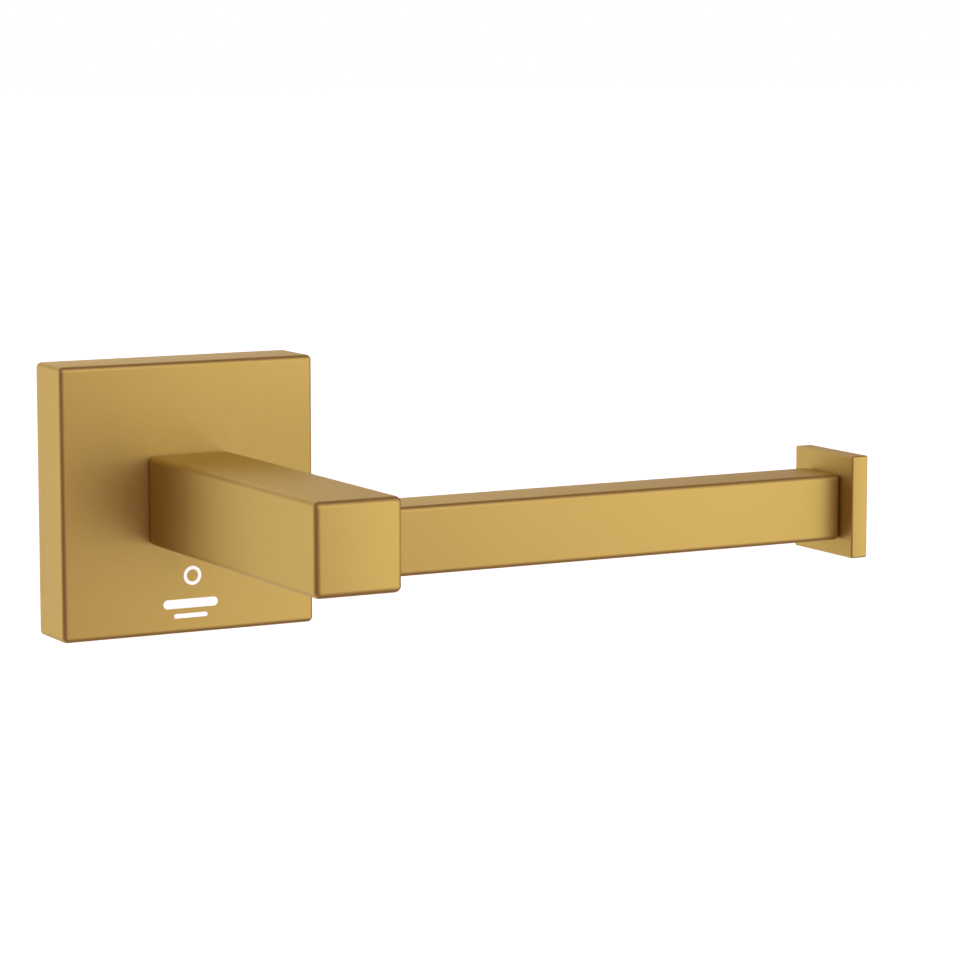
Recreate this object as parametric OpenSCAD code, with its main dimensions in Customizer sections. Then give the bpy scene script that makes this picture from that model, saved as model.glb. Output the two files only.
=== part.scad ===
// Toilet paper holder: a fixed square arm on a wall flange, carrying an open square bar
// with an end plate. Millimetres. The origin is on the wall, at the centre of the flange.
// +X runs along the bar to its free end, -Y points away from the wall, +Z is up.

/* [Flange] */
// Width and height of the square flange
flange_size = 60; // [56:1:76]
// Depth of the flange, from the wall to its front face
flange_depth = 13.2; // [12.5:0.1:16]
// Thickness of the flange's four side walls
flange_side_wall = 2.5; // [2:0.1:2.8]
// Thickness of the flange's front wall
flange_front_wall = 3; // [2.5:0.1:3.4]
// Rounding of the flange's outer edges
flange_edge_r = 1.2; // [0.4:0.1:1.8]

/* [Arm] */
// Width and height of the square arm
arm_size = 19.6; // [18:0.2:24]
// Distance from the wall to the arm's front end
arm_reach = 96.1; // [80:0.1:120]
// Rounding of the arm's edges
arm_edge_r = 1.4; // [0.5:0.1:2]

/* [Bar] */
// Length of the bar between the arm and the end plate
bar_length = 107; // [95:0.5:140]
// Height of the bar
bar_height = 14.2; // [13:0.2:16]
// Depth of the bar, towards the wall
bar_depth = 13.4; // [12.6:0.2:15]
// Set-back of the bar's front face from the arm's front end
bar_setback = 2.8; // [1.8:0.1:4]
// Wall thickness of the bar, which is a tube
bar_wall = 1.5; // [1.2:0.1:1.8]
// Rounding of the bar's edges
bar_edge_r = 1.1; // [0.4:0.1:1.15]

/* [End plate] */
// Width of the end plate, towards the wall
plate_width = 22; // [18:0.5:28]
// Height of the end plate
plate_height = 22; // [18:0.5:28]
// Thickness of the end plate
plate_t = 4; // [3.6:0.2:6]
// Height of the plate's centre above the middle of the bar
plate_raise = 0.4; // [0:0.1:1]
// Rounding of the end plate's edges
plate_edge_r = 0.4; // [0.2:0.1:1]

/* [Wall bracket] */
// Width of the bracket
bracket_width = 48; // [46:1:50]
// Height of the bracket at its front, where the dovetail is widest
bracket_height = 43; // [42:0.5:43]
// Thickness of the bracket
bracket_t = 6; // [5.5:0.1:6]
// Distance between the two wall screws
wall_screw_spacing = 34; // [33:0.5:35]
// Diameter of the holes for the wall screws
wall_hole_d = 5; // [4:0.1:5.4]

/* [Fasteners] */
// Thread diameter of the screw that holds the arm
arm_screw_d = 6; // [5:1:6]
// Thread diameter of the set screw under the flange
flange_set_d = 5; // [4:1:5]
// Thread diameter of the set screw under the arm
bar_set_d = 4; // [3:1:4]
// Diameter of the bar's round spigot
spigot_d = 8; // [6:0.5:8]

/* [Hidden] */
$fn = 64;

gold = [0.80, 0.66, 0.37];
zinc = [0.66, 0.67, 0.70];
steel = [0.78, 0.79, 0.81];
dark_steel = [0.42, 0.42, 0.44];

// Clearance on the radius of a screw in its thread, and on each side of a close fit
thread_gap = 0.05;
fit_gap = 0.05;
// How far a cutting shape runs past the face it cuts
over = 1;

flange_pocket = flange_size - 2 * flange_side_wall;
flange_inner_y = -(flange_depth - flange_front_wall);
pocket_corner_r = 2;

// The dovetail of the bracket narrows by this much on each side towards the wall
dovetail = 2.5;
dovetail_gap = 0.15;
hook_width = 26;
hook_back_y = -0.6;
bracket_opening_r = 10;
wall_head_r = 4.6;

flange_set_y = -5;
flange_set_length = 8;
flange_set_tip_z = -bracket_height / 2 - 0.1;
boss_width = 12;
// The flange can rise this far, which is enough to unhook it from the bracket
lift = dovetail - 0.1;
boss_top_z = -bracket_height / 2 - lift;
// How far the hook and the boss run into the flange's walls
wall_bite = 0.5;

bar_front_y = -arm_reach + bar_setback;
bar_y = bar_front_y + bar_depth / 2;
bar_start_x = arm_size / 2;
bar_end_x = bar_start_x + bar_length;

flat_washer_t = 1.6;
flat_washer_r = arm_screw_d;
spring_washer_t = 1.6;
spring_washer_r = arm_screw_d * 0.95;
arm_screw_length = 16;
arm_head_r = arm_screw_d * 0.875;
arm_head_h = arm_screw_d * 0.55;
arm_tap_depth = 13;
pin_r = 1.5;
pin_length = 8;
pin_offset = 6.2;

spigot_length = 12;
spigot_flat_depth = 0.6;
spigot_flat_length = 5;
bar_set_x = bar_start_x - spigot_length / 2;
bar_set_length = 5;
bar_set_tip_z = -spigot_d / 2 + spigot_flat_depth - 0.1;
plug_length = 14;
tube_corner_r = 0.8;

stud_d = 5;
stud_length = 12;
stud_in_plate = 2.4;

// Outline of a rectangle with rounded corners, centred
module rounded_square(w, h, r) {
  square([w - 2 * r, h], center = true);
  square([w, h - 2 * r], center = true);
  for (x = [-1, 1], y = [-1, 1])
    translate([x * (w / 2 - r), y * (h / 2 - r)]) circle(r);
}

// Centred block with every edge rounded
module rounded_block(size, r) {
  intersection() {
    linear_extrude(size[2], center = true) rounded_square(size[0], size[1], r);
    rotate([90, 0, 0]) linear_extrude(size[1], center = true) rounded_square(size[0], size[2], r);
    rotate([0, 90, 0]) linear_extrude(size[0], center = true) rounded_square(size[2], size[1], r);
  }
}

// Cylinder along Y that starts at y and runs away from the wall
module cylinder_out(y, length, r) {
  translate([0, y, 0]) rotate([90, 0, 0]) cylinder(r = r, h = length);
}

// Cylinder along X that starts at x on the bar's axis
module cylinder_along_bar(x, length, r) {
  translate([x, bar_y, 0]) rotate([0, 90, 0]) cylinder(r = r, h = length);
}

// Outline across the bracket's dovetail, grown by a gap: first coordinate z, second -y
module dovetail_outline(gap) {
  front = bracket_height / 2 + gap;
  back = front - dovetail;
  polygon([[-back, 0], [back, 0], [front, bracket_t], [-front, bracket_t]]);
}

// Grub screw along Z: tip up at z = 0, hex socket in its lower end
module grub_screw(d, length) {
  r = d / 2 - thread_gap;
  tip_h = d * 0.25;
  socket_across = d / 2;
  difference() {
    union() {
      translate([0, 0, -tip_h]) cylinder(r1 = r, r2 = d * 0.22, h = tip_h);
      translate([0, 0, -length + 0.3]) cylinder(r = r, h = length - tip_h - 0.3);
      translate([0, 0, -length]) cylinder(r1 = r - 0.3, r2 = r, h = 0.3);
    }
    translate([0, 0, -length - over])
      cylinder(r = socket_across / sqrt(3), h = d * 0.5 + over, $fn = 6);
  }
}

// The flange: a shallow square box, open at the wall, with a hook and a screw boss inside
module flange() {
  color(gold) difference() {
    union() {
      difference() {
        translate([0, -flange_depth / 2 + flange_edge_r / 2, 0])
          rounded_block([flange_size, flange_depth + flange_edge_r, flange_size], flange_edge_r);
        translate([0, flange_edge_r + over, 0]) rotate([90, 0, 0])
          linear_extrude(flange_edge_r + over) square(flange_size + 2 * over, center = true);
        translate([0, over, 0]) rotate([90, 0, 0]) linear_extrude(over - flange_inner_y)
          rounded_square(flange_pocket, flange_pocket, pocket_corner_r);
      }
      flange_hook();
      flange_boss();
    }
    cylinder_out(flange_inner_y + over, flange_front_wall + 2 * over, arm_screw_d / 2 + 0.3);
    pin_holes();
    translate([0, flange_set_y, -flange_size / 2 - over])
      cylinder(r = flange_set_d / 2, h = flange_size / 2 + over + boss_top_z + over);
  }
}

// Ledge under the flange's top wall that hooks behind the dovetail
module flange_hook() {
  wall_z = flange_pocket / 2;
  drop = wall_z - bracket_height / 2 + dovetail;
  difference() {
    translate([-hook_width / 2, -bracket_t, wall_z - drop])
      cube([hook_width, bracket_t + hook_back_y, drop + wall_bite]);
    translate([-hook_width / 2 - over, 0, 0]) rotate([0, 90, 0])
      linear_extrude(hook_width + 2 * over) rotate(180) dovetail_outline(dovetail_gap);
  }
}

// Thick spot in the flange's bottom wall that takes the set screw's thread
module flange_boss() {
  floor_z = -flange_pocket / 2 - wall_bite;
  translate([-boss_width / 2, flange_inner_y - wall_bite, floor_z])
    cube([boss_width, hook_back_y - flange_inner_y + wall_bite, boss_top_z - floor_z]);
}

// Holes for the two dowels, through the flange's front wall and into the arm
module pin_holes() {
  for (z = [-1, 1])
    translate([0, 0, z * pin_offset]) cylinder_out(flange_inner_y + over, pin_length + 1 + over, pin_r);
}

// The bracket: a plate with a dovetail top and bottom, screwed to the wall
module wall_bracket() {
  color(zinc) difference() {
    translate([-bracket_width / 2, 0, 0]) rotate([0, 90, 0]) linear_extrude(bracket_width)
      rotate(180) dovetail_outline(0);
    cylinder_out(over, bracket_t + 2 * over, bracket_opening_r);
    for (x = [-1, 1]) translate([x * wall_screw_spacing / 2, 0, 0]) wall_screw_hole();
  }
}

// One countersunk hole through the bracket
module wall_screw_hole() {
  hole_r = wall_hole_d / 2;
  sink = wall_head_r - hole_r;
  cylinder_out(over, bracket_t + 2 * over, hole_r);
  translate([0, -bracket_t + sink, 0]) rotate([90, 0, 0])
    cylinder(r1 = hole_r, r2 = wall_head_r + over, h = sink + over);
}

module flange_set_screw() {
  color(dark_steel) translate([0, flange_set_y, flange_set_tip_z])
    grub_screw(flange_set_d, flange_set_length);
}

// The arm: a solid square bar, tapped at its back and bored near its front
module arm() {
  length = arm_reach - flange_depth;
  color(gold) difference() {
    translate([0, -flange_depth - length / 2, 0]) rounded_block([arm_size, length, arm_size], arm_edge_r);
    cylinder_out(-flange_depth + over, arm_tap_depth + over, arm_screw_d / 2 + thread_gap);
    pin_holes();
    cylinder_along_bar(bar_start_x - spigot_length - 0.6, spigot_length + 0.6 + over, spigot_d / 2 + fit_gap);
    translate([bar_set_x, bar_y, -arm_size / 2 - over])
      cylinder(r = bar_set_d / 2, h = arm_size / 2 + over);
  }
}

module arm_locating_pins() {
  color(steel) for (z = [-1, 1])
    translate([0, 0, z * pin_offset]) cylinder_out(flange_inner_y - 0.3, pin_length, pin_r - 0.02);
}

// Button-head screw with a hex socket, entering the arm through the flange
module arm_screw() {
  head_y = flange_inner_y + flat_washer_t + spring_washer_t;
  rim_h = arm_head_h * 0.25;
  dome_h = arm_head_h - rim_h;
  dome_r = (arm_head_r * arm_head_r + dome_h * dome_h) / (2 * dome_h);
  color(steel) difference() {
    union() {
      intersection() {
        cylinder_out(head_y + arm_head_h, arm_head_h, arm_head_r);
        translate([0, head_y + arm_head_h - dome_r, 0]) sphere(dome_r);
      }
      cylinder_out(head_y, arm_screw_length, arm_screw_d / 2);
    }
    translate([0, head_y + arm_head_h + over, 0]) rotate([90, 0, 0])
      cylinder(r = arm_screw_d * 2 / 3 / sqrt(3), h = arm_head_h * 0.6 + over, $fn = 6);
  }
}

// Split ring, cut through at a slant
module arm_spring_washer() {
  color(steel) difference() {
    cylinder_out(flange_inner_y + flat_washer_t + spring_washer_t, spring_washer_t, spring_washer_r);
    cylinder_out(flange_inner_y + flat_washer_t + spring_washer_t + over, spring_washer_t + 2 * over,
      arm_screw_d / 2 + 0.1);
    translate([0, flange_inner_y + flat_washer_t + spring_washer_t / 2, spring_washer_r / 2 + 1])
      rotate([0, 0, 25]) cube([0.7, 4 * spring_washer_t, spring_washer_r + 2], center = true);
  }
}

module arm_flat_washer() {
  color(steel) difference() {
    cylinder_out(flange_inner_y + flat_washer_t, flat_washer_t, flat_washer_r);
    cylinder_out(flange_inner_y + flat_washer_t + over, flat_washer_t + 2 * over, arm_screw_d / 2 + 0.2);
  }
}

// The bar: a square tube that carries the roll
module bar() {
  color(gold) difference() {
    translate([bar_start_x + bar_length / 2, bar_y, 0])
      rounded_block([bar_length, bar_depth, bar_height], bar_edge_r);
    tube_core(bar_start_x - over, bar_length + 2 * over, 0);
  }
}

// Square core that fills the tube from x, smaller than its inside by a gap on each side
module tube_core(x, length, gap) {
  w = bar_depth - 2 * (bar_wall + gap);
  h = bar_height - 2 * (bar_wall + gap);
  translate([x, bar_y, 0]) rotate([0, 90, 0]) linear_extrude(length) rounded_square(h, w, tube_corner_r);
}

// Plug in the bar's left end, with the round spigot that enters the arm
module bar_spigot() {
  color(zinc) difference() {
    union() {
      tube_core(bar_start_x, plug_length, fit_gap);
      cylinder_along_bar(bar_start_x - spigot_length, spigot_length, spigot_d / 2);
    }
    translate([bar_set_x - spigot_flat_length / 2, bar_y - spigot_d / 2, -spigot_d / 2 - over])
      cube([spigot_flat_length, spigot_d, spigot_flat_depth + over]);
  }
}

module bar_set_screw() {
  color(dark_steel) translate([bar_set_x, bar_y, bar_set_tip_z]) grub_screw(bar_set_d, bar_set_length);
}

// Plug in the bar's right end, tapped for the stud
module bar_end_plug() {
  color(zinc) difference() {
    tube_core(bar_end_x - plug_length, plug_length, fit_gap);
    cylinder_along_bar(bar_end_x - plug_length - over, plug_length + 2 * over, stud_d / 2);
  }
}

module end_stud() {
  color(steel)
    cylinder_along_bar(bar_end_x + stud_in_plate - stud_length, stud_length, stud_d / 2 - thread_gap);
}

// The square plate on the free end, with a blind tapped hole in its inner face
module end_plate() {
  color(gold) difference() {
    translate([bar_end_x + plate_t / 2, bar_y, plate_raise])
      rounded_block([plate_t, plate_width, plate_height], plate_edge_r);
    cylinder_along_bar(bar_end_x - over, over + stud_in_plate + 0.2, stud_d / 2);
  }
}

flange();
wall_bracket();
flange_set_screw();
arm();
arm_locating_pins();
arm_screw();
arm_spring_washer();
arm_flat_washer();
bar();
bar_spigot();
bar_set_screw();
bar_end_plug();
end_stud();
end_plate();
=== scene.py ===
import math

import bmesh
import bpy
from mathutils import Matrix, Vector


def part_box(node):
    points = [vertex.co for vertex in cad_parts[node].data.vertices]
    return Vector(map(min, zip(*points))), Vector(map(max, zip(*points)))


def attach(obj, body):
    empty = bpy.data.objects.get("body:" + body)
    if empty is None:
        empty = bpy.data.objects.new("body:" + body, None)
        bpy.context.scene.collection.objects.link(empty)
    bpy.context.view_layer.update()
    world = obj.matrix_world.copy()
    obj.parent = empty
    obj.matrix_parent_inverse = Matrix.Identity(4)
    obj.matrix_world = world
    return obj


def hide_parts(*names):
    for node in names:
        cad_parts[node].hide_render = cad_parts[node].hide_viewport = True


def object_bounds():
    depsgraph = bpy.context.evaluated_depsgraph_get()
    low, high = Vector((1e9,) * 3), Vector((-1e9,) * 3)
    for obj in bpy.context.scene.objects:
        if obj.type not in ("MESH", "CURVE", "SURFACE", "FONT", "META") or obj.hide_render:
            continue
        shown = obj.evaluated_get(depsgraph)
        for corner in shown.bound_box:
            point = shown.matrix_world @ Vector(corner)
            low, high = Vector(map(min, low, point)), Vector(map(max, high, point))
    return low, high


# Toilet paper holder: mesh pieces, materials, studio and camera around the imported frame.
# Everything is in metres, in the frame's axes: +X along the bar, -Y away from the wall, +Z up.

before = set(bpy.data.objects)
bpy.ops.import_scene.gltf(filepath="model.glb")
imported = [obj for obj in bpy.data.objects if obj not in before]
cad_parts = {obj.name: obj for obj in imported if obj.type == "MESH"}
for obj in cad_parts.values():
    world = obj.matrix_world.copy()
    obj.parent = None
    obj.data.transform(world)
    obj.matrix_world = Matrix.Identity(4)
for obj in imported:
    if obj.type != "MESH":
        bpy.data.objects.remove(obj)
cad_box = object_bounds()

MM = 0.001
# How far a cutter reaches past the face that it opens
OVER = 0.5 * MM
ARC_STEPS = 8
SHARP_ANGLE = math.radians(32)
# How far a crowned face's normals lean out at its edges, along X, Y and Z
CROWN = [math.tan(math.radians(angle)) for angle in (5.5, 3, 1)]
# A crowned face's own normal has at least this much along its axis
CROWN_FLAT = 0.92
ON_FACE = 0.01 * MM
# Where the stored edge value starts, as the largest part of a vertex normal, and how fast it rises
EDGE_START, EDGE_FADE = 0.995, 0.15

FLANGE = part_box("flange")
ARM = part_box("arm")
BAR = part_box("bar")
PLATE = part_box("end_plate")
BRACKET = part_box("wall_bracket")
FLAT_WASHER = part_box("arm_flat_washer")
SPRING_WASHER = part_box("arm_spring_washer")
ARM_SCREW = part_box("arm_screw")
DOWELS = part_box("arm_locating_pins")
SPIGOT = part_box("bar_spigot")
END_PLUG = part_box("bar_end_plug")
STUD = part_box("end_stud")
FLANGE_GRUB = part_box("flange_set_screw")
BAR_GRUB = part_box("bar_set_screw")

# The bar's axis, and the inner face of the flange's front wall
BAR_Y = (BAR[0].y + BAR[1].y) / 2
INNER_Y = FLAT_WASHER[0].y

# Edge rounding, wall thickness, fits, and how far the flange's cutters reach
FLANGE_EDGE = 1.2 * MM
ARM_EDGE = 1.4 * MM
BAR_EDGE = 1.1 * MM
PLATE_EDGE = 0.4 * MM
SOFT_EDGE = 0.3 * MM
FLANGE_WALL = 2.5 * MM
POCKET_CORNER = 2 * MM
POCKET_PAST_WALL = 6 * MM
SLAB_SPREAD = 1.2
SLAB_DEPTH = 10 * MM
BAR_WALL = 1.5 * MM
CORE_GAP = 0.05 * MM
CORE_CORNER = 0.8 * MM
DOVETAIL = 2.5 * MM
HOOK_GAP = 0.15 * MM
HOOK_BACK = 0.6 * MM
HOOK_HALF = 13 * MM
BOSS_HALF = 6 * MM

# Screws, pins and their holes: radii, pitches, hex sockets across their flats, and depths
M4_R, M4_PITCH, M4_HEX = 2.0 * MM, 0.7 * MM, 2.0 * MM
M5_R, M5_PITCH, M5_HEX = 2.5 * MM, 0.8 * MM, 2.5 * MM
M6_R, M6_PITCH, M6_HEX = 3.0 * MM, 1.0 * MM, 4 * MM
M6_HEX_DEPTH = 2 * MM
M6_HEAD = 3.3 * MM
FLAT_WASHER_R = 3.2 * MM
SPRING_WASHER_R = 3.1 * MM
M6_CLEAR_R = 3.3 * MM
M6_TAPPED_R = 3.05 * MM
M6_TAPPED_DEPTH = 13 * MM
THROUGH_FRONT_WALL = 5 * MM
DOWEL_R = 1.5 * MM
DOWEL_DEPTH = 6 * MM
SPIGOT_R = 4.0 * MM
STUD_HOLE_DEPTH = 2.6 * MM

# Bracket: central opening, countersunk wall screw holes and levelling notches
OPENING_R = 10 * MM
WALL_SCREW_R = 2.5 * MM
WALL_SCREW_X = 17 * MM
COUNTERSINK = 2.1 * MM
NOTCH_HALF = 1.1 * MM
NOTCH_DEPTH = 1.0 * MM
NOTCH_MOUTH = 0.5 * MM

# Thread form, in pitches, and the rows that draw one pitch
THREAD_DEPTH = 0.6
THREAD_CREST = 0.125
THREAD_FLANK = 0.75
THREAD_ROWS = 10

# Printed mark in mm: the ring's radii and centre, and each bar's width, height and centre
MARK_FILM = 0.03 * MM
MARK_INNER, MARK_OUTER, MARK_X, MARK_Z = 1.35, 2.1, 0.5, -17.2
MARK_BARS = ((13.0, 2.0, -23.3), (8.0, 1.0, -26.0))

# --- mesh helpers ---------------------------------------------------------------------------


def new_object(name, bm):
    """Object made from a bmesh, which is freed."""
    mesh = bpy.data.meshes.new(name)
    bmesh.ops.recalc_face_normals(bm, faces=bm.faces)
    bm.to_mesh(mesh)
    bm.free()
    obj = bpy.data.objects.new(name, mesh)
    bpy.context.scene.collection.objects.link(obj)
    return obj


def round_off(bm, edges, width, steps):
    bmesh.ops.bevel(bm, geom=edges, offset=width, segments=steps, profile=0.5, affect="EDGES")


def rounded_block(name, low, high, radius, steps=ARC_STEPS):
    """Box between two corners with every edge and corner rounded."""
    bm = bmesh.new()
    low, high = Vector(low), Vector(high)
    placed = Matrix.Translation((low + high) / 2) @ Matrix.Diagonal((*(high - low), 1))
    bmesh.ops.create_cube(bm, size=1, matrix=placed)
    round_off(bm, bm.edges[:], radius, steps)
    return new_object(name, bm)


def lathe(name, profile, start, axis, closed=False, sides=64):
    """Solid of revolution from (radius, height) pairs along axis. A radius may be a function of
    the turn, 0 to 1, for a thread. An open profile starts and ends on the axis; a closed one
    makes a ring."""
    bm = bmesh.new()
    turn = Vector(axis).to_track_quat("Z", "Y").to_matrix().to_4x4()
    placed = Matrix.Translation(Vector(start)) @ turn
    rings = []
    for radius, height in profile:
        if radius == 0:
            rings.append([bm.verts.new(placed @ Vector((0, 0, height)))])
            continue
        ring = []
        for k in range(sides):
            r = radius(k / sides) if callable(radius) else radius
            a = 2 * math.pi * k / sides
            point = Vector((r * math.cos(a), r * math.sin(a), height))
            ring.append(bm.verts.new(placed @ point))
        rings.append(ring)
    pairs = list(zip(rings, rings[1:])) + ([(rings[-1], rings[0])] if closed else [])
    for lower, upper in pairs:
        for k in range(sides):
            n = (k + 1) % sides
            corners = [lower[k % len(lower)], lower[n % len(lower)],
                       upper[n % len(upper)], upper[k % len(upper)]]
            # A ring that is one point gives a triangle
            bm.faces.new(list(dict.fromkeys(corners)))
    return new_object(name, bm)


def thread(radius, pitch, start, end):
    """Profile rows of a screw thread between two heights, running out to a chamfer at both ends."""
    depth = THREAD_DEPTH * pitch
    count = round((end - start) / pitch * THREAD_ROWS)

    def row(height):
        run_out = depth - min(height - start, end - height)

        def radius_at(turn):
            from_crest = 2 * abs((height / pitch - turn + 0.5) % 1 - 0.5)
            groove = min(1, max(0, (from_crest - THREAD_CREST) / THREAD_FLANK))
            return radius - max(run_out, depth * groove)

        return radius_at, height

    return [row(start + (end - start) * k / count) for k in range(count + 1)]


def prism(name, outline, start, axis, length, up=(0, 0, 1)):
    """Solid with a flat outline of (u, v) pairs, pushed along axis; v runs along up."""
    bm = bmesh.new()
    along, v_dir = Vector(axis).normalized(), Vector(up).normalized()
    u_dir = v_dir.cross(along)
    near = [bm.verts.new(Vector(start) + u_dir * u + v_dir * v) for u, v in outline]
    far = [bm.verts.new(p.co + along * length) for p in near]
    bm.faces.new(near)
    bm.faces.new(far[::-1])
    for k in range(len(near)):
        n = (k + 1) % len(near)
        bm.faces.new([near[n], near[k], far[k], far[n]])
    return new_object(name, bm)


def hexagon(across):
    """Outline of a hexagon, given across its flats."""
    corner = across / math.sqrt(3)
    turns = [math.pi * k / 3 for k in range(6)]
    return [(corner * math.cos(a), corner * math.sin(a)) for a in turns]


def rounded_outline(width, height, radius, steps=ARC_STEPS):
    """Outline of a rectangle with rounded corners."""
    points = []
    for quarter, (sx, sy) in enumerate(((1, 1), (-1, 1), (-1, -1), (1, -1))):
        for k in range(steps + 1):
            a = math.pi / 2 * (quarter + k / steps)
            points.append((sx * (width / 2 - radius) + radius * math.cos(a),
                           sy * (height / 2 - radius) + radius * math.sin(a)))
    return points


def soften(obj, width=SOFT_EDGE, steps=3):
    """Rounds every sharp edge of an object a little."""
    bm = bmesh.new()
    bm.from_mesh(obj.data)
    sharp = [e for e in bm.edges
             if len(e.link_faces) == 2 and e.calc_face_angle() > SHARP_ANGLE]
    round_off(bm, sharp, width, steps)
    bm.to_mesh(obj.data)
    bm.free()
    return obj


def combine(base, others, operation):
    """Boolean of base with each of the others, which are used up."""
    for other in others:
        step = base.modifiers.new("step", "BOOLEAN")
        step.object, step.operation, step.solver = other, operation, "EXACT"
        with bpy.context.temp_override(object=base, active_object=base):
            bpy.ops.object.modifier_apply(modifier=step.name)
        bpy.data.objects.remove(other, do_unlink=True)
    return base


def cut(base, *cutters):
    return combine(base, cutters, "DIFFERENCE")


def join(base, *parts):
    return combine(base, parts, "UNION")


def hole(radius, depth, start, axis, chamfer=0.0):
    """Cutter for a round hole that enters at start and runs along axis, with a chamfered mouth."""
    rim = radius + chamfer
    profile = [(0, -OVER), (rim + OVER, -OVER), (rim, 0), (radius, chamfer), (radius, depth),
               (0, depth)]
    return lathe("cutter", profile, start, axis)


def middle_of(box):
    return (box[0] + box[1]) / 2


def mark_edges(obj):
    """Stores how far each vertex's normal is from the nearest axis, for the wear along edges."""
    layer = obj.data.attributes.new("edge", "FLOAT", "POINT")
    for vertex, value in zip(obj.data.vertices, layer.data):
        flatness = max(abs(c) for c in vertex.normal)
        value.value = min(1.0, max(0.0, (EDGE_START - flatness) / EDGE_FADE))


def crown(mesh, low, high):
    """Turns the normals of a block's six faces a little outwards towards their edges, as they
    are on linished metal."""
    middle, half = (low + high) / 2, (high - low) / 2
    normals = [corner.vector.copy() for corner in mesh.corner_normals]
    for face in mesh.polygons:
        axis = max(range(3), key=lambda k: abs(face.normal[k]))
        if abs(face.normal[axis]) < CROWN_FLAT:
            continue
        for index in face.loop_indices:
            offset = mesh.vertices[mesh.loops[index].vertex_index].co - middle
            if abs(abs(offset[axis]) - half[axis]) < ON_FACE:
                normal = Vector([CROWN[k] * offset[k] / half[k] for k in range(3)])
                normal[axis] = math.copysign(1, face.normal[axis])
                normals[index] = normal.normalized()
    mesh.normals_split_custom_set(normals)


def dress(obj, node, material, body="holder", crowned=None):
    """Smooth shading with crisp flats, a material, and the piece's place in the frame."""
    obj.data.shade_smooth()
    obj.data.set_sharp_from_angle(angle=SHARP_ANGLE)
    mark_edges(obj)
    if crowned:
        crown(obj.data, *crowned)
    else:
        weighted = obj.modifiers.new("flat_faces", "WEIGHTED_NORMAL")
        weighted.keep_sharp = True
    obj.data.materials.clear()
    obj.data.materials.append(material)
    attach(obj, body)
    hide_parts(node)


# --- materials ------------------------------------------------------------------------------


class Nodes:
    """Small helper that adds and links the nodes of one material."""

    def __init__(self, name):
        self.material = bpy.data.materials.new(name)
        self.material.use_nodes = True
        self.tree = self.material.node_tree
        self.shader = self.tree.nodes["Principled BSDF"]

    def add(self, kind, settings=None, **inputs):
        node = self.tree.nodes.new(kind)
        for key, value in (settings or {}).items():
            setattr(node, key, value)
        for key, value in inputs.items():
            self.feed(node.inputs[key.replace("_", " ")], value)
        return node

    def feed(self, socket, value):
        if isinstance(value, bpy.types.NodeSocket):
            self.tree.links.new(value, socket)
        else:
            socket.default_value = value

    def noise(self, scale, detail=3.0, roughness=0.55):
        where = self.add("ShaderNodeTexCoord").outputs["Object"]
        return self.add("ShaderNodeTexNoise", Vector=where, Scale=scale, Detail=detail,
                        Roughness=roughness).outputs["Fac"]

    def spread(self, value, low, high):
        """Maps noise, which stays near 0.5, onto low..high."""
        node = self.add("ShaderNodeMapRange", Value=value, From_Min=0.3, From_Max=0.7,
                        To_Min=low, To_Max=high)
        return node.outputs["Result"]

    def mix(self, factor, a, b):
        node = self.add("ShaderNodeMix", {"data_type": "RGBA"})
        self.feed(node.inputs["Factor"], factor)
        self.feed(node.inputs[6], a)
        self.feed(node.inputs[7], b)
        return node.outputs[2]

    def wear(self, scale, amount):
        """The stored edge value broken up by noise, for metal rubbed along its edges."""
        edge = self.add("ShaderNodeAttribute", {"attribute_name": "edge"}).outputs["Fac"]
        node = self.add("ShaderNodeMath", {"operation": "MULTIPLY"})
        self.feed(node.inputs[0], edge)
        self.feed(node.inputs[1], self.spread(self.noise(scale, 2.0), 0.0, amount))
        return node.outputs[0]

    def fix(self, name, value):
        self.shader.inputs[name].default_value = value

    def drive(self, name, value):
        self.feed(self.shader.inputs[name], value)

    def bump(self, height, strength, distance):
        node = self.add("ShaderNodeBump", Strength=strength, Distance=distance, Height=height)
        self.drive("Normal", node.outputs["Normal"])


def satin_gold():
    """Blasted metal with a gold coating: soft gloss, a fine grain and slight clouding."""
    n = Nodes("satin_gold")
    cloud = n.noise(38.0, 4.0)
    tint = n.mix(n.spread(cloud, 0.0, 1.0), (0.548, 0.412, 0.112, 1), (0.568, 0.428, 0.118, 1))
    n.drive("Base Color", n.mix(n.wear(300.0, 0.4), tint, (0.66, 0.50, 0.20, 1)))
    n.fix("Metallic", 0.9)
    n.fix("Specular Tint", (1.0, 0.98, 0.82, 1))
    n.drive("Roughness", n.spread(cloud, 0.45, 0.49))
    n.bump(n.noise(5200.0, 2.0), 0.05, 0.05 * MM)
    return n.material


def plain_metal(name, cloud, tones, wear, worn, roughness, grain, bump):
    """Metal of the bracket, plugs and fasteners. cloud, wear and grain begin with a noise scale,
    and worn is the colour where the edges are rubbed."""
    n = Nodes(name)
    cloud = n.noise(*cloud)
    tint = n.mix(n.spread(cloud, 0.0, 1.0), *tones)
    n.drive("Base Color", n.mix(n.wear(*wear), tint, worn))
    n.fix("Metallic", 1.0)
    n.drive("Roughness", n.spread(cloud, *roughness))
    n.bump(n.noise(*grain), *bump)
    return n.material


def white_print():
    """Pad-printed ink with a faint speckle, and a painted glow that makes it read brighter than lit
    ink.
    """
    n = Nodes("white_print")
    cloud = n.noise(900.0, 3.0)
    n.drive("Base Color",
            n.mix(n.spread(cloud, 0.0, 1.0), (0.88, 0.88, 0.86, 1), (0.95, 0.95, 0.94, 1)))
    n.drive("Roughness", n.spread(cloud, 0.45, 0.6))
    # Painted light: the ink glows a little, though it is no lamp, so the print looks brighter white
    n.fix("Emission Color", (0.94, 1, 1, 1))
    n.fix("Emission Strength", 0.6)
    n.bump(n.noise(6000.0), 0.1, 0.02 * MM)
    return n.material


# --- visible body: flange, arm, bar, end plate ----------------------------------------------


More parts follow.
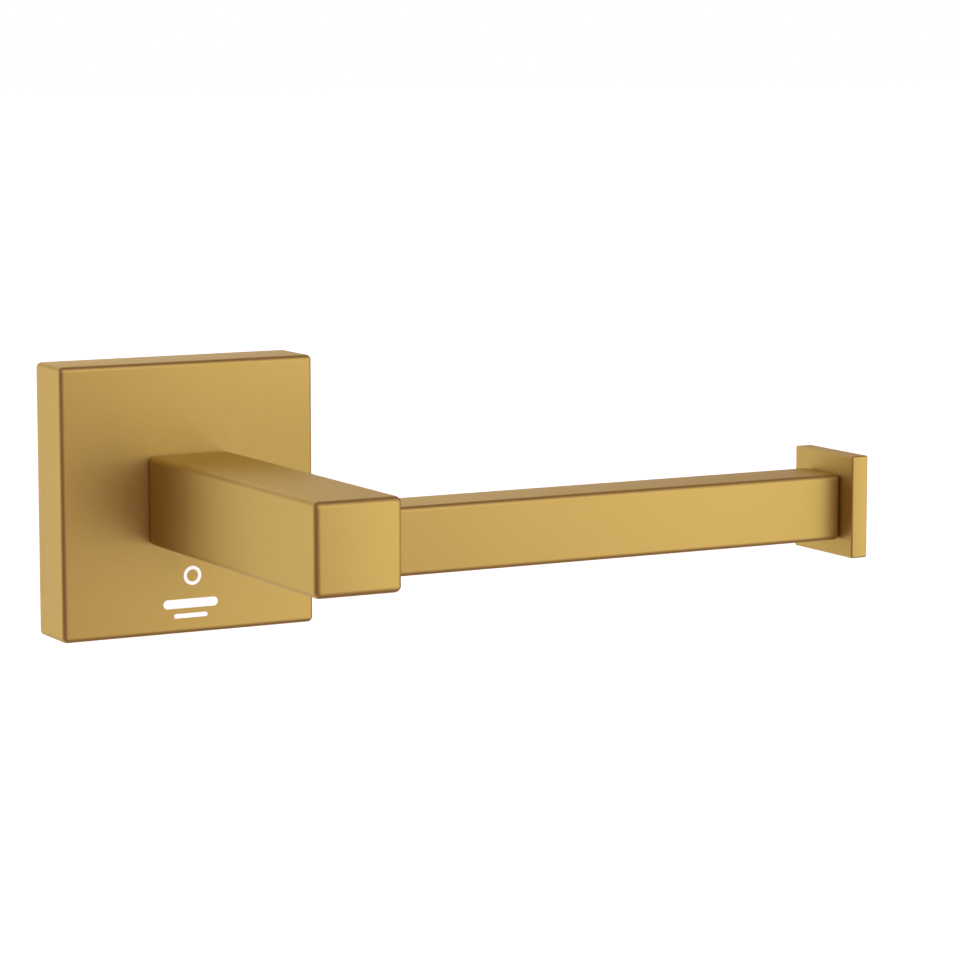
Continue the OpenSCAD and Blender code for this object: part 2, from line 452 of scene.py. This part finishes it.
def make_flange(material):
    """Cast square cover, open at the wall, with the hook and the screw boss in its pocket."""
    low, high = FLANGE
    # The block runs on past the wall plane, and the slab cuts it off square there
    past_wall = high + Vector((0, 2 * FLANGE_EDGE, 0))
    shell = rounded_block("flange_shell", low, past_wall, FLANGE_EDGE)
    width, height = SLAB_SPREAD * (high.x - low.x), SLAB_SPREAD * (high.z - low.z)
    slab = prism("cutter", rounded_outline(width, height, 1 * MM, 1), (0, high.y, 0), (0, 1, 0),
                 SLAB_DEPTH)
    pocket_high = (high.x - FLANGE_WALL, high.y + POCKET_PAST_WALL, high.z - FLANGE_WALL)
    pocket = rounded_block("cutter", (low.x + FLANGE_WALL, INNER_Y, low.z + FLANGE_WALL),
                           pocket_high, POCKET_CORNER)
    cut(shell, slab, pocket)
    front, top = BRACKET[0].y, high.z - FLANGE_WALL + OVER
    slope_front = BRACKET[1].z + HOOK_GAP
    slope_back = slope_front - DOVETAIL * (1 - HOOK_BACK / (BRACKET[1].y - front))
    outline = [(front, slope_front), (-HOOK_BACK, slope_back), (-HOOK_BACK, top), (front, top)]
    hook = prism("hook", outline, (-HOOK_HALF, 0, 0), (1, 0, 0), 2 * HOOK_HALF)
    boss_top = BRACKET[0].z - DOVETAIL + 0.1 * MM
    boss = rounded_block("boss", (-BOSS_HALF, INNER_Y - OVER, low.z + FLANGE_WALL - OVER),
                         (BOSS_HALF, -HOOK_BACK, boss_top), 0.6 * MM, 3)
    join(shell, soften(hook), boss)
    grub_hole = hole(M5_R, boss_top - low.z + OVER, (0, middle_of(FLANGE_GRUB).y, low.z),
                     (0, 0, 1), chamfer=0.4 * MM)
    screw_hole = hole(M6_CLEAR_R, THROUGH_FRONT_WALL, (0, INNER_Y, 0), (0, -1, 0),
                      chamfer=0.3 * MM)
    cut(shell, grub_hole, screw_hole, *dowel_holes(INNER_Y, THROUGH_FRONT_WALL))
    dress(shell, "flange", material, crowned=FLANGE)


def dowel_holes(y, depth):
    """Cutters for the two dowel holes, from y away from the wall."""
    offset = DOWELS[1].z - DOWEL_R
    return [hole(DOWEL_R, depth, (0, y, side * offset), (0, -1, 0), chamfer=0.15 * MM)
            for side in (-1, 1)]


def make_arm(material):
    """Solid arm, bored for the spigot, tapped at the back and underneath."""
    low, high = ARM
    arm = rounded_block("arm_casting", low, high, ARM_EDGE)
    spigot_length = high.x - SPIGOT[0].x
    bore = hole(SPIGOT_R + CORE_GAP, spigot_length + 0.6 * MM, (high.x, BAR_Y, 0), (-1, 0, 0),
                chamfer=0.3 * MM)
    grub_hole = hole(M4_R, -low.z, (middle_of(BAR_GRUB).x, BAR_Y, low.z), (0, 0, 1),
                     chamfer=0.35 * MM)
    screw_hole = hole(M6_TAPPED_R, M6_TAPPED_DEPTH, (0, high.y, 0), (0, -1, 0),
                      chamfer=0.5 * MM)
    cut(arm, bore, grub_hole, screw_hole, *dowel_holes(high.y, DOWEL_DEPTH))
    dress(arm, "arm", material, crowned=ARM)


def tube_core(name, x, length, gap):
    """Square core inside the bar, smaller than the tube's inside by a gap on each side."""
    width = BAR[1].y - BAR[0].y - 2 * (BAR_WALL + gap)
    height = BAR[1].z - BAR[0].z - 2 * (BAR_WALL + gap)
    outline = rounded_outline(width, height, CORE_CORNER, 4)
    return prism(name, outline, (x, BAR_Y, 0), (1, 0, 0), length)


def make_bar(material):
    """Square tube that carries the roll."""
    low, high = BAR
    tube = rounded_block("bar_tube", low, high, BAR_EDGE)
    cut(tube, tube_core("cutter", low.x - OVER, high.x - low.x + 2 * OVER, 0))
    dress(tube, "bar", material, crowned=BAR)


def make_plate(material):
    """End plate with a blind tapped hole in its inner face."""
    low, high = PLATE
    plate = rounded_block("end_plate_panel", low, high, PLATE_EDGE, 4)
    cut(plate, hole(M5_R, STUD_HOLE_DEPTH, (low.x, BAR_Y, 0), (1, 0, 0), chamfer=0.3 * MM))
    dress(plate, "end_plate", material, crowned=PLATE)


def make_mark(material):
    """Plain printed mark on the flange: a ring over two short bars."""
    y = FLANGE[0].y
    ring = lathe("printed_mark", ring_profile(MARK_INNER * MM, MARK_OUTER * MM, MARK_FILM),
                 (MARK_X * MM, y, MARK_Z * MM), (0, -1, 0), closed=True)
    for width, height, z in MARK_BARS:
        outline = rounded_outline(width * MM, height * MM, height * 0.49 * MM, 6)
        join(ring, prism("bar", outline, (0, y, z * MM), (0, -1, 0), MARK_FILM))
    ring.data.shade_flat()
    ring.data.materials.clear()
    ring.data.materials.append(material)
    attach(ring, "holder")


# --- bracket, plugs and fasteners -----------------------------------------------------------


def make_bracket(material):
    """Dovetail wall plate with a central opening, two countersunk holes and levelling notches."""
    low, high = BRACKET
    outline = [(high.y, low.z + DOVETAIL), (low.y, low.z),
               (low.y, high.z), (high.y, high.z - DOVETAIL)]
    plate = prism("bracket_plate", outline, (low.x, 0, 0), (1, 0, 0), high.x - low.x)
    soften(plate, 0.35 * MM)
    through = high.y - low.y + OVER
    cut(plate, hole(OPENING_R, through, (0, low.y, 0), (0, 1, 0), chamfer=0.6 * MM))
    for side in (-1, 1):
        notch = [(side * NOTCH_MOUTH, -NOTCH_HALF), (-side * NOTCH_DEPTH, 0),
                 (side * NOTCH_MOUTH, NOTCH_HALF)]
        screw_hole = hole(WALL_SCREW_R, through, (side * WALL_SCREW_X, low.y, 0), (0, 1, 0),
                          chamfer=COUNTERSINK)
        cut(plate, screw_hole, prism("cutter", notch, (side * high.x, high.y + OVER, 0),
                                     (0, -1, 0), through + OVER))
    dress(plate, "wall_bracket", material)


def socket(across, depth, start, axis, up):
    """Cutters for a hex socket with a chamfered mouth."""
    along = Vector(axis)
    return [prism("cutter", hexagon(across), Vector(start) - along * OVER, axis, depth + OVER,
                  up),
            hole(across * 0.5, 0.3 * across, start, axis, chamfer=0.09 * across)]


def make_grub_screw(name, node, box, pitch, across, material):
    """Threaded set screw with a coned tip and a hex socket in its lower end."""
    low, high = box
    radius, length = (high.x - low.x) / 2, high.z - low.z
    centre = ((low.x + high.x) / 2, (low.y + high.y) / 2, low.z)
    cone = 0.5 * radius
    profile = [(0, 0)] + thread(radius, pitch, 0, length - cone)
    profile += [(0.45 * radius, length), (0, length)]
    screw = lathe(name, profile, centre, (0, 0, 1), sides=48)
    cut(screw, *socket(across, across, centre, (0, 0, 1), (0, 1, 0)))
    dress(screw, node, material, body=node)


def make_arm_screw(material):
    """Button-head screw: domed head with a hex socket towards the wall, threaded shank into
    the arm."""
    top, tip = ARM_SCREW[1].y, ARM_SCREW[0].y
    head_r, head_h, rim = ARM_SCREW[1].x, M6_HEAD, 0.15 * MM
    dome_h = 0.75 * head_h
    dome_r = (head_r ** 2 + dome_h ** 2) / (2 * dome_h)
    heights = [dome_h * k / 10 for k in range(1, 11)]
    profile = [(0, 0)] + [(math.sqrt(2 * dome_r * h - h * h), h) for h in heights]
    profile += [(head_r, head_h - rim), (head_r - rim, head_h), (M6_R - 0.2 * MM, head_h)]
    profile += thread(M6_R, M6_PITCH, head_h + 0.4 * MM, top - tip) + [(0, top - tip)]
    screw = lathe("arm_button_screw", profile, (0, top, 0), (0, -1, 0))
    cut(screw, *socket(M6_HEX, M6_HEX_DEPTH, (0, top, 0), (0, -1, 0), (0, 0, 1)))
    dress(screw, "arm_screw", material)


def ring_profile(inner, outer, thickness, edge=0):
    """Closed profile of a flat ring, with its edges broken where edge isn't 0."""
    if not edge:
        return [(inner, 0), (outer, 0), (outer, thickness), (inner, thickness)]
    return [(inner + edge, 0), (outer - edge, 0), (outer, edge), (outer, thickness - edge),
            (outer - edge, thickness), (inner + edge, thickness), (inner, thickness - edge),
            (inner, edge)]


def make_washers(material):
    """Flat washer, and a spring washer with a slanting split at the top."""
    low, high = FLAT_WASHER
    flat = lathe("flat_washer_ring",
                 ring_profile(FLAT_WASHER_R, high.x, high.y - low.y, edge=0.2 * MM),
                 (0, high.y, 0), (0, -1, 0), closed=True)
    dress(flat, "arm_flat_washer", material)
    low, high = SPRING_WASHER
    split = lathe("spring_washer_ring",
                  ring_profile(SPRING_WASHER_R, high.x, high.y - low.y, edge=0.12 * MM),
                  (0, high.y, 0), (0, -1, 0), closed=True)
    middle, half_width, slant = middle_of(SPRING_WASHER).y, 0.35 * MM, 0.75 * MM
    slit = [(-slant - half_width, middle - 1.6 * MM), (half_width - slant, middle - 1.6 * MM),
            (slant + half_width, middle + 1.6 * MM), (slant - half_width, middle + 1.6 * MM)]
    cut(split, prism("cutter", slit, (0, 0, 1 * MM), (0, 0, 1), 6 * MM, up=(0, 1, 0)))
    dress(split, "arm_spring_washer", material)


def make_dowels(material):
    """The two pins that stop the arm turning on the flange, as one piece."""
    low, high = DOWELS
    radius, length, edge = (high.x - low.x) / 2, high.y - low.y, 0.35 * MM
    profile = [(0, 0), (radius - edge, 0), (radius, edge), (radius, length - edge),
               (radius - edge, length), (0, length)]
    pins = [lathe("dowel_pins", profile, (0, high.y, side * (high.z - radius)), (0, -1, 0),
                  sides=40) for side in (-1, 1)]
    dress(join(*pins), "arm_locating_pins", material)


def make_spigot(material):
    """Square core in the bar's left end and the round spigot, with its flat, that enters the
    arm."""
    low, high = SPIGOT
    core = soften(tube_core("spigot_plug", BAR[0].x, high.x - BAR[0].x, CORE_GAP))
    # The pin runs 1 mm into the core, so that the two join
    pin_length, edge = BAR[0].x - low.x + 1 * MM, 0.5 * MM
    pin = lathe("pin", [(0, 0), (SPIGOT_R - edge, 0), (SPIGOT_R, edge), (SPIGOT_R, pin_length),
                        (0, pin_length)], (low.x, BAR_Y, 0), (1, 0, 0))
    join(core, pin)
    grub_x, flat_z = middle_of(BAR_GRUB).x, BAR_GRUB[1].z + 0.1 * MM
    flat = rounded_block("cutter", (grub_x - 2.5 * MM, BAR_Y - 6 * MM, flat_z - 4 * MM),
                         (grub_x + 2.5 * MM, BAR_Y + 6 * MM, flat_z), 0.2 * MM, 2)
    cut(core, flat)
    dress(core, "bar_spigot", material)


def make_end_plug(material):
    """Core in the bar's right end, tapped for the stud."""
    low, high = END_PLUG
    length = high.x - low.x
    plug = soften(tube_core("tapped_plug", low.x, length, CORE_GAP))
    cut(plug, hole(M5_R, length + OVER, (low.x, BAR_Y, 0), (1, 0, 0), chamfer=0.4 * MM))
    dress(plug, "bar_end_plug", material)


def make_stud(material):
    """Headless stud between the plug and the end plate, with a hex socket in its left end."""
    low, high = STUD
    radius, length = (high.z - low.z) / 2, high.x - low.x
    profile = [(0, 0)] + thread(radius, M5_PITCH, 0, length) + [(0, length)]
    stud = lathe("threaded_stud", profile, (low.x, BAR_Y, 0), (1, 0, 0), sides=48)
    cut(stud, *socket(M5_HEX, M5_HEX, (low.x, BAR_Y, 0), (1, 0, 0), (0, 0, 1)))
    dress(stud, "end_stud", material)


gold = satin_gold()
zinc = plain_metal(
    "cast_zinc", cloud=(60.0, 5.0), tones=((0.30, 0.31, 0.33, 1), (0.42, 0.43, 0.45, 1)),
    wear=(500.0, 0.8), worn=(0.62, 0.63, 0.64, 1), roughness=(0.42, 0.6),
    grain=(1800.0, 4.0), bump=(0.35, 0.1 * MM))
steel = plain_metal(
    "plated_steel", cloud=(240.0, 3.0), tones=((0.50, 0.51, 0.53, 1), (0.62, 0.62, 0.60, 1)),
    wear=(900.0, 0.8), worn=(0.40, 0.38, 0.34, 1), roughness=(0.24, 0.36),
    grain=(3200.0,), bump=(0.12, 0.05 * MM))
dark_steel = plain_metal(
    "set_screw_steel", cloud=(420.0, 3.0), tones=((0.12, 0.12, 0.13, 1), (0.20, 0.20, 0.21, 1)),
    wear=(900.0, 0.9), worn=(0.42, 0.42, 0.43, 1), roughness=(0.30, 0.44),
    grain=(3800.0,), bump=(0.15, 0.05 * MM))

make_flange(gold)
make_arm(gold)
make_bar(gold)
make_plate(gold)
make_mark(white_print())
make_bracket(zinc)
make_spigot(zinc)
make_end_plug(zinc)
make_arm_screw(steel)
make_washers(steel)
make_dowels(steel)
make_stud(steel)
make_grub_screw("flange_grub_screw", "flange_set_screw", FLANGE_GRUB, M5_PITCH, M5_HEX,
                dark_steel)
make_grub_screw("bar_grub_screw", "bar_set_screw", BAR_GRUB, M4_PITCH, M4_HEX, dark_steel)

# --- studio ---------------------------------------------------------------------------------

CAMERA_AZIMUTH, CAMERA_ELEVATION = -28.5, 7.62
CAMERA_DISTANCE = 0.787
CAMERA_LENS = 136.0
CAMERA_SENSOR = 36.0
CAMERA_SHIFT = (-0.0009, 0.0005)
AIM_OFFSET = Vector((0.0081, 0.0007, 0.0045))


def heading(azimuth, elevation):
    """Unit vector: azimuth 0 is away from the wall and 90 along the bar, in degrees."""
    a, e = math.radians(azimuth), math.radians(elevation)
    return Vector((math.sin(a) * math.cos(e), -math.cos(a) * math.cos(e), math.sin(e)))


def make_camera():
    """Camera at the photo's viewing angle."""
    data = bpy.data.cameras.new("camera")
    data.lens = CAMERA_LENS
    data.sensor_width = CAMERA_SENSOR
    data.shift_x, data.shift_y = CAMERA_SHIFT
    data.clip_start = 0.05
    data.clip_end = 200.0
    camera = bpy.data.objects.new("camera", data)
    bpy.context.scene.collection.objects.link(camera)
    to_camera = heading(CAMERA_AZIMUTH, CAMERA_ELEVATION)
    camera.location = middle_of(cad_box) + AIM_OFFSET + to_camera * CAMERA_DISTANCE
    camera.rotation_mode = "QUATERNION"
    camera.rotation_quaternion = (-to_camera).to_track_quat("-Z", "Y")
    bpy.context.scene.camera = camera


# The studio's soft lights: azimuth, elevation, tightness, level
SOFT_LIGHTS = (
    (43, -1, 6, 1.75),
    (-5, 30, 11, 1.35),
    (225, 0, 6, 1.36),
    (166, 27, 11, 1.15),
    (215, -55, 8, 0.9),
    (-35, -45, 9, 0.08),
    (152, -30, 12, 0.7),
)
# A change of colour around one direction, with more red and less green: azimuth, elevation,
# tightness, colour
WARM_GLOW = (-15, 0, 10, (0.09, -0.045, 0.015))
# The colour that comes from everywhere
DIM_LIGHT = (0.18, 0.062, 0.105)
FLOOR_DROP = 1.6


def make_world():
    """Soft lights in a dim warm studio; the camera sees plain white behind the holder."""
    world = bpy.data.worlds.new("studio")
    bpy.context.scene.world = world
    world.use_nodes = True
    tree = world.node_tree
    tree.nodes.clear()

    def add(kind, *values, **settings):
        node = tree.nodes.new(kind)
        for key, value in settings.items():
            setattr(node, key, value)
        for socket, value in zip(node.inputs, values):
            if isinstance(value, bpy.types.NodeSocket):
                tree.links.new(value, socket)
            else:
                socket.default_value = value
        return node

    where = add("ShaderNodeTexCoord").outputs["Generated"]

    def lobe(azimuth, elevation, tightness):
        """1 in one direction, and less the further from it."""
        facing = add("ShaderNodeVectorMath", where, heading(azimuth, elevation),
                     operation="DOT_PRODUCT").outputs["Value"]
        fall = add("ShaderNodeMath", facing, tightness, -tightness, operation="MULTIPLY_ADD")
        return add("ShaderNodeMath", fall.outputs[0], operation="EXPONENT").outputs[0]

    total = 0.0
    for *place, level in SOFT_LIGHTS:
        total = add("ShaderNodeMath", lobe(*place), level, total,
                    operation="MULTIPLY_ADD").outputs[0]
    studio = add("ShaderNodeVectorMath", DIM_LIGHT, total, operation="ADD").outputs[0]
    *place, colour = WARM_GLOW
    studio = add("ShaderNodeVectorMath", lobe(*place), colour, studio,
                 operation="MULTIPLY_ADD").outputs[0]
    seen = add("ShaderNodeLightPath").outputs["Is Camera Ray"]
    choice = add("ShaderNodeMix", seen, data_type="VECTOR")
    tree.links.new(studio, choice.inputs[4])
    choice.inputs[5].default_value = (1, 1, 1)
    background = add("ShaderNodeBackground", choice.outputs[1], 1.0)
    add("ShaderNodeOutputWorld", background.outputs["Background"])


def make_floor():
    """Pale floor, well below the holder."""
    bm = bmesh.new()
    bmesh.ops.create_grid(bm, x_segments=4, y_segments=4, size=60.0)
    floor = new_object("floor", bm)
    floor.location = (0, 0, cad_box[0].z - FLOOR_DROP)
    n = Nodes("pale_floor")
    n.fix("Base Color", (0.9, 0.9, 0.9, 1))
    n.fix("Roughness", 0.9)
    n.fix("Specular IOR Level", 0.0)
    n.fix("Emission Color", (1, 1, 1, 1))
    n.fix("Emission Strength", 0.75)
    floor.data.materials.append(n.material)
    floor.visible_glossy = False
    floor.visible_diffuse = False


make_camera()
make_world()
make_floor()
bpy.context.scene.view_settings.view_transform = "Standard"
